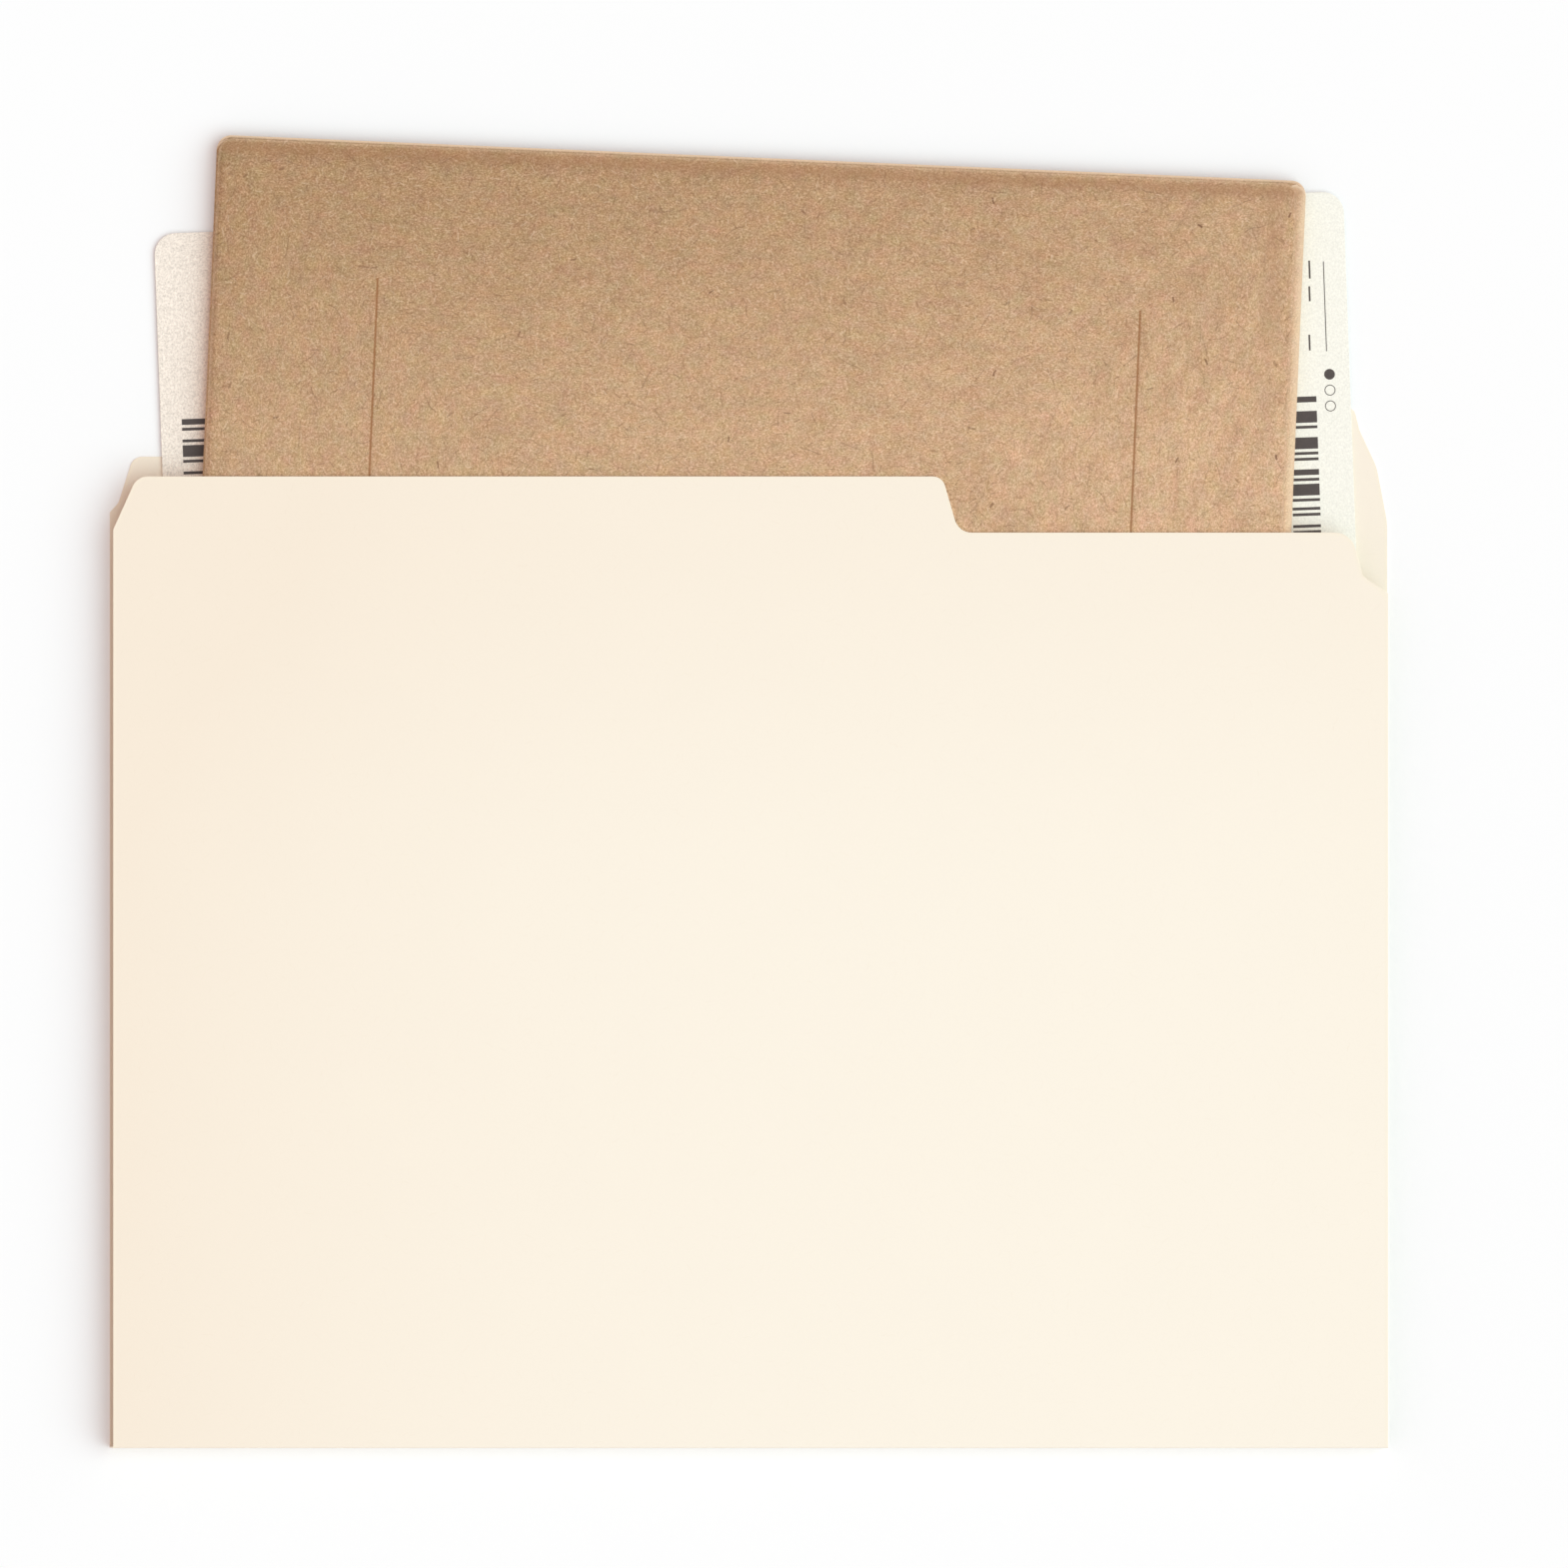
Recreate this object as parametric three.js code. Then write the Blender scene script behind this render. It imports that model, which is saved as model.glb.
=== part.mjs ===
// A letter size manila file folder with a tab at the right, lying closed on its back leaf.
// It holds a brown kraft envelope and, behind that, a cream card, both a little turned and
// standing out of the top. Each is drawn up or down between the leaves.
//
// Millimetres, +Z up, +X to the right and +Y towards the tab. The origin is the middle of the
// back leaf's underside. Inside the model, heights y are counted from the outside of the spine.

import * as THREE from 'three';

// Driving dimensions of the folder
const folderWidth = 298.45;
const manilaThickness = 0.3;
const creaseReach = 0.45;
const sheetGap = 0.3;

// Back leaf: body, left shoulder and the right-hand tab
const backBodyHeight = 231.4;
const tabRise = 11.4;
const tabWidth = 98.7;
const tabLeftRun = 3.3;
const tabLeftTopRadius = 3;
const tabLeftFootRadius = 4;
const tabRightInset = 7.8;
const tabRightTopRadius = 2;
const tabRightNeckRun = 1.3;
const tabRightNeckDrop = 5.2;
const tabRightNeckRadius = 4;
const tabRightBendRun = 4;
const tabRightBendDrop = 8.6;
const tabRightBendRadius = 12;
const tabRightFootDrop = 13;
const tabRightFootRadius = 20;
const backShoulderRun = 3.5;
const backShoulderDrop = 10.8;
const backShoulderRadius = 3;
const backShoulderFlareRun = 2;
const backShoulderFlareDrop = 2.2;
const backShoulderFlareRadius = 3;

// Front leaf: high line, left shoulder, step down to the low line and right-hand corner cut
const frontHeight = 226.7;
const frontLeftInset = 1;
const frontShoulderRun = 5.6;
const frontShoulderDrop = 12.4;
const frontShoulderRadius = 3.8;
const frontShoulderFootRadius = 1.5;
const frontStepFoot = 49;
const frontStepDrop = 13.1;
const frontStepRun = 3.8;
const frontStepTopRadius = 3;
const frontStepFootRadius = 4;
const frontCutRun = 2.7;
const frontCutDrop = 10.2;
const frontCutRadius = 5;
const frontCutFlareRun = 5.9;
const frontCutFlareDrop = 4;
const frontCutFlareRadius = 1.5;

// Kraft envelope, open at the top
const envelopeWidth = 254.5;
const envelopeHeight = 292.1;
const envelopeDepth = 4.8;
const kraftThickness = 0.2;
const envelopeCornerRadius = 3.3;
const envelopeTurn = THREE.MathUtils.degToRad(-2.45);
const envelopeFootInset = 31.47;
const envelopeFootRoom = 3.63;
const mouthLip = 0.8;
const faceLeftInset = 0.5;
const faceRightInset = 2;
const leftFlapWidth = 38.9;
const rightFlapWidth = 37.5;
const flapTopDrop = 32;
const flapOuterTopDrop = 6;
const flapBottomRise = 6;
const glueGap = 0.3;
const seamGap = 0.3;

// Cream card behind the envelope
const cardWidth = 278;
const cardHeight = 215.9;
const cardThickness = 0.3;
const cardCornerRadius = 5;
const cardTurn = THREE.MathUtils.degToRad(2.05);
const cardStandOut = 45.6;

// Faces round each corner and round each half-round fold
const cornerSteps = 6;
const foldSteps = 10;

// Levels of the stack, from the underside of the back leaf up
const cardLevel = manilaThickness + sheetGap;
const envelopeLevel = cardLevel + cardThickness + sheetGap;
const frontLeafLevel = envelopeLevel + envelopeDepth + sheetGap;
const faceLevel = envelopeDepth - kraftThickness;
const flapLevel = faceLevel - glueGap - kraftThickness;

// The two creases run along the middle of the board's thickness
const creaseY = manilaThickness / 2;
const lowerCreaseZ = manilaThickness / 2;
const upperCreaseZ = frontLeafLevel + manilaThickness / 2;
const leafStart = creaseY + creaseReach;
const spineHeight = upperCreaseZ - lowerCreaseZ - 2 * creaseReach;

const tabTop = backBodyHeight + tabRise;
const frontLowLine = frontHeight - frontStepDrop;
const sideFoldRadius = (flapLevel + kraftThickness) / 2;
const bottomFoldRadius = envelopeDepth / 2;
const panelSideInset = sideFoldRadius + seamGap;
const panelBottomInset = bottomFoldRadius + seamGap;

const manila = { color: 0xf9eedd, roughness: 0.75, metalness: 0 };
const kraft = { color: 0xc6a480, roughness: 0.85, metalness: 0 };
const cream = { color: 0xfaf9ee, roughness: 0.7, metalness: 0 };

/** One corner of an outline, with the radius that rounds it. */
function corner(x, y, radius = 0) {
  return { at: new THREE.Vector2(x, y), radius };
}

/** The points that take an outline round one corner: the corner itself, or an arc inside it. */
function cornerPoints(previous, current, next) {
  const { at, radius } = current;
  if (radius === 0) return [at];
  const back = previous.at.clone().sub(at).normalize();
  const ahead = next.at.clone().sub(at).normalize();
  const halfAngle = back.angleTo(ahead) / 2;
  const middle = back.clone().add(ahead).normalize();
  const centre = at.clone().addScaledVector(middle, radius / Math.sin(halfAngle));
  const reach = radius / Math.tan(halfAngle);
  const start = at.clone().addScaledVector(back, reach).sub(centre);
  const end = at.clone().addScaledVector(ahead, reach).sub(centre);
  const clockwise = back.cross(ahead) > 0;
  const arc = new THREE.EllipseCurve(
    centre.x, centre.y, radius, radius, start.angle(), end.angle(), clockwise,
  );
  return arc.getPoints(cornerSteps);
}

/** A closed outline through the corners, each rounded by its own radius. */
function roundedOutline(corners) {
  const points = corners.flatMap((current, index) => {
    const next = corners[(index + 1) % corners.length];
    return cornerPoints(corners.at(index - 1), current, next);
  });
  return new THREE.Shape(points);
}

/** A flat sheet: the outline with the thickness of its paper. */
function sheet(name, corners, thickness, finish) {
  const geometry = new THREE.ExtrudeGeometry(roundedOutline(corners), {
    depth: thickness,
    bevelEnabled: false,
  });
  return named(name, geometry, finish);
}

/** A mesh with its own name and its own material. */
function named(name, geometry, finish) {
  const mesh = new THREE.Mesh(geometry, new THREE.MeshStandardMaterial(finish));
  mesh.name = name;
  return mesh;
}

/** A half-round fold of paper, bulging towards +X, on the z = 0 plane and carried along +Y. */
function halfRoundFold(name, outerRadius, length) {
  const innerRadius = outerRadius - kraftThickness;
  const section = new THREE.Shape();
  section.absarc(0, 0, outerRadius, -Math.PI / 2, Math.PI / 2, false);
  section.absarc(0, 0, innerRadius, Math.PI / 2, -Math.PI / 2, true);
  const geometry = new THREE.ExtrudeGeometry(section, {
    depth: length,
    bevelEnabled: false,
    curveSegments: foldSteps / 2,
  });
  geometry.rotateX(Math.PI / 2);
  geometry.translate(0, length, outerRadius);
  return named(name, geometry, kraft);
}

/** The back leaf, from the lower crease up to the tab, with its left shoulder. */
function makeBackLeaf() {
  const left = -folderWidth / 2;
  const right = folderWidth / 2;
  const tabRight = right - tabRightInset;
  const neckX = tabRight + tabRightNeckRun;
  const neckY = tabTop - tabRightNeckDrop;
  const bendX = neckX + tabRightBendRun;
  const bendY = neckY - tabRightBendDrop;
  const tabLeft = tabRight - tabWidth + tabLeftRun;
  const shoulderX = left + backShoulderFlareRun;
  const shoulderY = backBodyHeight - backShoulderDrop;
  return sheet('back_leaf', [
    corner(left, leafStart),
    corner(right, leafStart),
    corner(right, bendY - tabRightFootDrop, tabRightFootRadius),
    corner(bendX, bendY, tabRightBendRadius),
    corner(neckX, neckY, tabRightNeckRadius),
    corner(tabRight, tabTop, tabRightTopRadius),
    corner(tabLeft, tabTop, tabLeftTopRadius),
    corner(tabLeft - tabLeftRun, backBodyHeight, tabLeftFootRadius),
    corner(shoulderX + backShoulderRun, backBodyHeight, backShoulderRadius),
    corner(shoulderX, shoulderY, backShoulderFlareRadius),
    corner(left, shoulderY - backShoulderFlareDrop),
  ], manilaThickness, manila);
}

/** The front leaf, from the upper crease up to its stepped top edge. */
function makeFrontLeaf() {
  const left = -folderWidth / 2 + frontLeftInset;
  const right = folderWidth / 2;
  const cutFootX = right - frontCutFlareRun;
  const cutFootY = frontLowLine - frontCutDrop;
  const leaf = sheet('front_leaf', [
    corner(left, leafStart),
    corner(right, leafStart),
    corner(right, cutFootY - frontCutFlareDrop),
    corner(cutFootX, cutFootY, frontCutFlareRadius),
    corner(cutFootX - frontCutRun, frontLowLine, frontCutRadius),
    corner(frontStepFoot, frontLowLine, frontStepFootRadius),
    corner(frontStepFoot - frontStepRun, frontHeight, frontStepTopRadius),
    corner(left + frontShoulderRun, frontHeight, frontShoulderRadius),
    corner(left, frontHeight - frontShoulderDrop, frontShoulderFootRadius),
  ], manilaThickness, manila);
  leaf.position.z = frontLeafLevel;
  return leaf;
}

/** The narrow strip that stands between the two creases and gives the folder its depth. */
function makeSpineStrip() {
  const geometry = new THREE.BoxGeometry(folderWidth, manilaThickness, spineHeight);
  const strip = named('spine_strip', geometry, manila);
  strip.position.set(0, creaseY, (lowerCreaseZ + upperCreaseZ) / 2);
  return strip;
}

/** The card, a plain sheet with rounded corners, placed by the middle of its top edge. */
function makeCard() {
  const side = cardWidth / 2;
  const card = sheet('printed_card', [
    corner(-side, -cardHeight, cardCornerRadius),
    corner(side, -cardHeight, cardCornerRadius),
    corner(side, 0, cardCornerRadius),
    corner(-side, 0, cardCornerRadius),
  ], cardThickness, cream);
  card.position.set(0, tabTop + cardStandOut, cardLevel);
  card.rotation.z = cardTurn;
  return card;
}

/** The envelope's rear panel, between its three folds. */
function makeRearPanel() {
  const side = envelopeWidth / 2 - panelSideInset;
  const cornerRadius = envelopeCornerRadius - seamGap;
  return sheet('envelope_rear_panel', [
    corner(-side, panelBottomInset - envelopeHeight),
    corner(side, panelBottomInset - envelopeHeight),
    corner(side, 0, cornerRadius),
    corner(-side, 0, cornerRadius),
  ], kraftThickness, kraft);
}

/** The face panel, folded up from the bottom and glued on the side flaps. */
function makeFacePanel() {
  const left = -envelopeWidth / 2 + faceLeftInset;
  const right = envelopeWidth / 2 - faceRightInset;
  const panel = sheet('envelope_face_panel', [
    corner(left, panelBottomInset - envelopeHeight),
    corner(right, panelBottomInset - envelopeHeight),
    corner(right, -mouthLip, envelopeCornerRadius),
    corner(left, -mouthLip, envelopeCornerRadius),
  ], kraftThickness, kraft);
  panel.position.z = faceLevel;
  return panel;
}

/** One side flap, folded in from the rear panel, with its top corner cut away. */
function makeSideFlap(name, side, width) {
  const outer = envelopeWidth / 2 - panelSideInset;
  const inner = envelopeWidth / 2 - width;
  const bottom = flapBottomRise - envelopeHeight;
  const corners = [
    corner(side * inner, bottom),
    corner(side * outer, bottom),
    corner(side * outer, -flapOuterTopDrop),
    corner(side * inner, -flapTopDrop),
  ];
  if (side < 0) corners.reverse();
  const flap = sheet(name, corners, kraftThickness, kraft);
  flap.position.z = flapLevel;
  return flap;
}

/** One side fold, from the rear panel's edge round to the flap's. */
function makeSideFold(name, side) {
  const length = envelopeHeight - panelBottomInset - envelopeCornerRadius;
  const fold = halfRoundFold(name, sideFoldRadius, length);
  fold.position.x = side * (envelopeWidth / 2 - sideFoldRadius);
  fold.position.y = side > 0 ? -envelopeCornerRadius - length : -envelopeCornerRadius;
  fold.rotation.z = side > 0 ? 0 : Math.PI;
  return fold;
}

/** The bottom fold, from the rear panel's edge round to the face panel's. */
function makeBottomFold() {
  const length = envelopeWidth - 2 * panelSideInset;
  const fold = halfRoundFold('envelope_bottom_fold', bottomFoldRadius, length);
  fold.position.set(-length / 2, bottomFoldRadius - envelopeHeight, 0);
  fold.rotation.z = -Math.PI / 2;
  return fold;
}

/** The whole envelope, turned, with its lower right corner standing just above the spine. */
function makeEnvelope() {
  const envelope = new THREE.Group();
  envelope.add(
    makeRearPanel(),
    makeFacePanel(),
    makeSideFold('envelope_left_fold', -1),
    makeSideFold('envelope_right_fold', 1),
    makeBottomFold(),
    makeSideFlap('envelope_left_flap', -1, leftFlapWidth),
    makeSideFlap('envelope_right_flap', 1, rightFlapWidth),
  );
  envelope.rotation.z = envelopeTurn;
  const mouthToFoot = new THREE.Vector3(envelopeWidth / 2, -envelopeHeight, 0);
  mouthToFoot.applyEuler(envelope.rotation);
  envelope.position.set(
    folderWidth / 2 - envelopeFootInset,
    manilaThickness + envelopeFootRoom,
    envelopeLevel,
  );
  envelope.position.sub(mouthToFoot);
  return envelope;
}

const folder = new THREE.Group();
folder.add(makeBackLeaf(), makeSpineStrip(), makeFrontLeaf(), makeEnvelope(), makeCard());
folder.position.y = -tabTop / 2;

export default folder;
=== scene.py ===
"""Looks of a manila file folder that holds a brown kraft envelope and a cream card.

Metres, in the frame of the packed solids: +X to the right as the front leaf is read, +Y from
the spine towards the tab, +Z up out of the front leaf. Each sheet of paper is one surface worked
out on a grid. Its flat blank is drawn first, then folded, and last given its thickness.
"""
import math

import bpy
import numpy as np
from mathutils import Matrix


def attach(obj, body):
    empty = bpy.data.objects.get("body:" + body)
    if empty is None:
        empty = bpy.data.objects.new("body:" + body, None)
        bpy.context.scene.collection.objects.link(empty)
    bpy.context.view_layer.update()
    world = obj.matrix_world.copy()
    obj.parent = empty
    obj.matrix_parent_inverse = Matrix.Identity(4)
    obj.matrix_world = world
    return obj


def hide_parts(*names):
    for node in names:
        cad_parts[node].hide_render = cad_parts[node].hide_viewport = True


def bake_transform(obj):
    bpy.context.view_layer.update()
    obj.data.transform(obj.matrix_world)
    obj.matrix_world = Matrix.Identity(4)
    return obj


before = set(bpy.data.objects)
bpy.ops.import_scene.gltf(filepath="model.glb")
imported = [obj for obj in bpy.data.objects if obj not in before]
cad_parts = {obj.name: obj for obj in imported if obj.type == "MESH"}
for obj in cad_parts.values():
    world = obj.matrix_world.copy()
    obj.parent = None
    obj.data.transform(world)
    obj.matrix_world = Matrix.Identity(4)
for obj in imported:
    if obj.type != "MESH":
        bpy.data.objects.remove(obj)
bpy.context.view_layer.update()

bl_info = {
    "name": "File folder",
    "version": (1, 0, 0),
    "blender": (4, 5, 0),
    "location": "3D View > Sidebar > File folder",
    "description": "Makes a manila file folder, the envelope and card in it, and a studio stage",
    "category": "Add Mesh",
}

MM = 0.001

# Shape of the folder's blank in millimetres, with heights counted from the spine's outside
FOLDER_WIDTH = 298.45
FOLDER_DEPTH = 6.6
BOARD = 0.3
BACK_BODY_HEIGHT = 231.4
TAB_RISE = 11.4
TAB_WIDTH = 98.7
TAB_TOP = BACK_BODY_HEIGHT + TAB_RISE
TAB_LEFT_RUN = 3.3
TAB_RIGHT_INSET = 7.8
TAB_NECK_RUN = 1.3
TAB_NECK_DROP = 5.2
TAB_BEND_RUN = 4.0
TAB_BEND_DROP = 8.6
TAB_FOOT_DROP = 13.0
BACK_SHOULDER_RUN = 3.5
BACK_SHOULDER_DROP = 10.8
BACK_FLARE_RUN = 2.0
BACK_FLARE_DROP = 2.2
FRONT_HEIGHT = 226.7
FRONT_LEFT_INSET = 1.0
FRONT_SHOULDER_RUN = 5.6
FRONT_SHOULDER_DROP = 12.4
FRONT_STEP_FOOT = 49.0
FRONT_STEP_DROP = 13.1
FRONT_STEP_RUN = 3.8
FRONT_CUT_RUN = 2.7
FRONT_CUT_DROP = 10.2
FRONT_FLARE_RUN = 5.9
FRONT_FLARE_DROP = 4.0

# Envelope in millimetres, with heights counted down from its mouth
ENVELOPE_WIDTH = 254.5
ENVELOPE_HEIGHT = 292.1
ENVELOPE_DEPTH = 4.8
ENVELOPE_LEVEL = 1.2
ENVELOPE_CORNER = 3.3
ENVELOPE_TURN = math.radians(-2.45)
ENVELOPE_FOOT_INSET = 31.47
ENVELOPE_FOOT_ROOM = 3.63
MOUTH_LIP = 0.8
MOUTH_TRIM = 0.1
FACE_LEFT_INSET = 0.5
FACE_RIGHT_INSET = 2.0
LEFT_FLAP_WIDTH = 38.9
RIGHT_FLAP_WIDTH = 37.5
FLAP_TOP_DROP = 32.0
FLAP_BOTTOM_RISE = 6.0
FLAP_SHOULDER = 4.0
GLUE_GAP = 0.3

# Press of the mouth: its steepness, the run in millimetres over which the face sags from the
# sides of the flaps inwards, and where that starts, counted in such runs
MOUTH_STEEPNESS = 1.25
SAG_RUN = 8.0
SAG_START = 0.75

# Distances in millimetres over which the face calms down, settles and is grooved, and over
# which the lower edge of the flaps rises
FOOT_CALM = 20.0
EDGE_CALM = 9.0
EDGE_SETTLE = 5.0
GROOVE_START = 1.5
GROOVE_HALF_WIDTH = 0.35
FLAP_FOOT_RUN = 3.0

# Random wrinkles: how many, and ranges of their middle across and up, lean, width and length
WRINKLE_COUNT = 44
WRINKLE_RANGES = [(-110, 122), (-120, -8), (38, 66), (2.2, 4.2), (16, 36)]

# Strength of a random dip or ridge, and the depth below which dips do not add up
WRINKLE_SIGNS = [-0.8, 1.0]
WRINKLE_FLOOR = -0.4

# Share of that strength at the left, what the right has more, and where that sets in
WRINKLE_LEFT = 0.15
WRINKLE_MORE = 0.6
WRINKLE_MORE_FROM = 30
WRINKLE_MORE_RUN = 40

# Share by which the front leaf holds the wrinkles down, from a height and over a run
HELD_SHARE = 0.6
HELD_FROM = -52
HELD_RUN = 16

# Ridges near the face's right edge: middle across and up, lean, width, length and strength
EDGE_RIDGES = [
    (111.5, -33, 58, 2.4, 16, 0.85),
    (100, -16, 64, 2.2, 8, 0.7),
    (110, -50, -6, 2.2, 9, 0.6),
    (115, -62, 55, 2.6, 11, 1.0),
    (88, -40, 62, 3.4, 20, 0.5),
]

# Shares of red, green and blue in the kraft's grain that make an even step in each on a screen
EVEN_STEP = np.array([0.84, 1.0, 1.24])

# Dark fibres, long hairs and short flecks in the kraft: spacing, length and half width in
# millimetres, share of the places that hold one, and strength
KRAFT_FIBRES = [
    (2.4, 2.0, 0.19, 0.6, 0.4),
    (9.0, 6.0, 0.18, 0.7, 0.46),
    (17.0, 1.8, 0.32, 0.6, 0.9),
]

# Card in millimetres, with its own origin at the middle of its top edge
CARD_WIDTH = 278.0
CARD_HEIGHT = 215.9
CARD_LEVEL = 0.6
CARD_CORNER = 5.0
CARD_TURN = math.radians(2.05)
CARD_STAND_OUT = 45.6

# Rows of bars on the card: left, right, top and bottom in millimetres, and the seed
RIGHT_BARS = (124.5, 131.0, -47.6, -92.0, 5)
LEFT_BARS = (-134.05, -127.6, -43.5, -74.0, 8)
BAR_COUNT = 40
THIN_BAR = 0.68

# A rule and three strokes on the card: left, right, top and bottom
STROKES = np.array([
    [133.65, 133.87, -16.2, -37.2],
    [130.25, 130.67, -15.9, -20.1],
    [130.05, 130.47, -21.9, -25.4],
    [129.65, 130.07, -33.2, -36.9],
])

# A dot and two rings on the card: middle across and up, outer and inner radius
DOTS = [(134.26, -42.6, 1.26, 0.02), (134.24, -46.3, 1.28, 1.08), (134.22, -50.0, 1.28, 1.08)]

# How far the ink reaches down into the card, as a share of its height on it
INK_SUNK = 0.5

# Colours of the small parts of the looks, as numbers from 0 to 255 on a screen; the three kraft
# colours are painted shade: in the creases, under the mouth and inside the right side
BOARD_FIBRE = (214, 186, 146)
CARD_FIBRE = (205, 190, 160)
KRAFT_CREASE_SHADE = (168, 126, 92)
KRAFT_MOUTH_SHADE = (170, 124, 88)
KRAFT_EDGE_SHADE = (168, 128, 96)

# Distances from the cut edge between which the board's edge colour and the kraft's pale edge, a
# painted highlight that is partly wear, fade in
BOARD_EDGE_FADE = np.array([0.95, 0.35]) * MM
KRAFT_HIGHLIGHT_FADE = np.array([0.9, 0.1]) * MM

# Painted stripes of the kraft, by middle and half width: the painted shade under the mouth, counted
# up from it, and the painted shade inside the right side and the painted highlight on the right
# fold, counted outwards from the envelope's side
MOUTH_SHADE_PLACE = np.array([-2.8, 2.4]) * MM
EDGE_SHADE_PLACE = np.array([-7.0, 4.5]) * MM
FOLD_HIGHLIGHT_PLACE = np.array([1.7, 4.0]) * MM
# Half width of the painted shade in the groove along each flap's edge
GROOVE_SHADE_HALF_WIDTH = 0.5 * MM

# Heights between which the painted shade inside the right side fades in, and depth at which the
# painted light makes the kraft palest
EDGE_SHADE_RISE = np.array([-75.0, -25.0]) * MM
LIT_DEPTH = -80.0 * MM

# Heights between which painted shade makes the board warmer towards the top
SHADE_RISE = (0.12, 0.225)

# Fineness of the surfaces: counts, distances in metres where MM is in the line, else in
# millimetres, and the section of the rim
ARC_STEPS = 8
RING_STEPS = 48
CREASE_ROWS = 8
FOLD_ROWS = 15
BODY_ROWS = 56
PANEL_COLUMNS = 90
FOLD_COLUMNS = 23
FLAP_COLUMNS = 9
FOLD_MARGIN = 1.5
COLUMN_STEP = 2.5 * MM
ROW_STEP = 5.0 * MM
FACE_COLUMN_STEP = 2.0 * MM
FACE_ROW_STEP = 2.5 * MM
NEAR_EDGE = np.array([0.0, 0.35, 0.8]) * MM
NEAR_MARK = (-0.8, -0.4, -0.2, 0, 0.2, 0.4, 0.8)
FACE_NEAR_MOUTH = (0.7, 1.4, 2.1, 2.9, 3.8, 4.8, 6.0, 8.0)
BODY_NEAR_MOUTH = np.array([0.0, 0.5, 1.1, 1.8, 2.6, 3.5, 4.6, 6.0, 8.0]) * MM
RIM_ANGLES = np.radians([30, 60, 90, 90, 120, 150])
RIM_SIDE = np.array([1, 1, 1, -1, -1, -1])

# A share too small to matter
SLIGHT = 1e-6

# Distance between the picture's left and right border, the middle of the picture, the camera's
# height in metres, and the width of its sensor in millimetres
PICTURE_WIDTH = 365.8 * MM
PICTURE_MIDDLE = (8.28 * MM, 33.53 * MM)
CAMERA_HEIGHT = 4.8
SENSOR_WIDTH = 36.0

# Radii of the floor's rings in metres, how many points each has, and the floor's height
FLOOR_RINGS = (0.0005, 0.2, 0.6, 1.4, 3.5)
FLOOR_STEPS = 96
FLOOR_LEVEL = -0.02 * MM

# Colour of the background and of the floor's glow
WHITE = (1.0, 1.0, 1.0)


def screen(red, green, blue):
    """Scene-linear colour for a screen colour of three numbers from 0 to 255."""
    value = np.array([red, green, blue]) / 255
    colour = np.where(value <= 0.04045, value / 12.92, ((value + 0.055) / 1.055) ** 2.4)
    return tuple(float(part) for part in colour)


def length_property(name, description, millimetres):
    """A length that the user may change."""
    return bpy.props.FloatProperty(
        name=name,
        description=description,
        default=millimetres * MM,
        min=0.0,
        precision=5,
        unit="LENGTH",
        subtype="DISTANCE",
    )


def share_property(name, description, default):
    """A share from none to all that the user may change."""
    return bpy.props.FloatProperty(
        name=name, description=description, default=default, min=0.0, max=1.0, subtype="FACTOR"
    )


def colour_property(name, description, default):
    """A colour that the user may change."""
    return bpy.props.FloatVectorProperty(
        name=name, description=description, default=default, min=0.0, max=1.0, subtype="COLOR"
    )


def angle_property(name, description, degrees):
    """An angle that the user may change."""
    return bpy.props.FloatProperty(
        name=name, description=description, default=math.radians(degrees), subtype="ANGLE"
    )


class FolderSettings(bpy.types.PropertyGroup):
    """Sizes and colours of the manila folder."""

    board: length_property("Board thickness", "Thickness of the manila board", BOARD)
    crease_radius: length_property("Crease radius", "Radius of each crease at mid board", 0.45)
    rounding: length_property("Edge rounding", "Radius of the board's cut edges", 0.08)
    # Warm board: painted shade that darkens and warms the board towards the left
    pale: colour_property("Pale board", "Colour at the right", screen(252, 243.5, 228))
    warm_shade: colour_property("Warm board", "Colour at the left", screen(248, 234.5, 216))
    cut_edge: colour_property("Cut edge", "Colour along the cut edges", screen(252, 241, 216))
    fibres: share_property("Fibres", "How far the board's fibres show", 0.5)


class EnvelopeSettings(bpy.types.PropertyGroup):
    """Sizes and colours of the kraft envelope."""

    paper: length_property("Paper thickness", "Thickness of the kraft paper", 0.2)
    rounding: length_property("Edge rounding", "Radius of the paper's cut edges", 0.06)
    mouth_depth: length_property("Mouth depth", "How far down the mouth is pressed flat", 7.0)
    mouth_press: share_property("Mouth press", "How far the mouth is pressed together", 0.95)
    settle: length_property("Edge settle", "How far the face's edges lie lower", 0.22)
    wrinkle: length_property("Wrinkle height", "Height of the wrinkles in the face", 0.55)
    groove: length_property("Groove depth", "Depth of the mark of each flap's edge", 0.1)
    # Dark and light kraft: painted shade at the upper left and painted light at the lower right
    dark: colour_property("Dark kraft", "Colour at the upper left", screen(176.5, 140, 102.5))
    light: colour_property("Light kraft", "Colour at the lower right", screen(217.5, 179.5, 142.5))
    fibre: colour_property("Dark fibres", "Colour of the short fibres", screen(120, 84, 58))
    # Flap mark: painted shade in the groove along each flap's edge
    mark: colour_property("Flap mark", "Colour of the flap edges' marks", screen(152, 101, 60))
    # Worn edge: pale fibres and wear, and the painted highlight on the cut edges and the right fold
    worn_and_highlight: colour_property("Worn edge", "Colour of the worn edges", screen(236, 208, 178))


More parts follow.
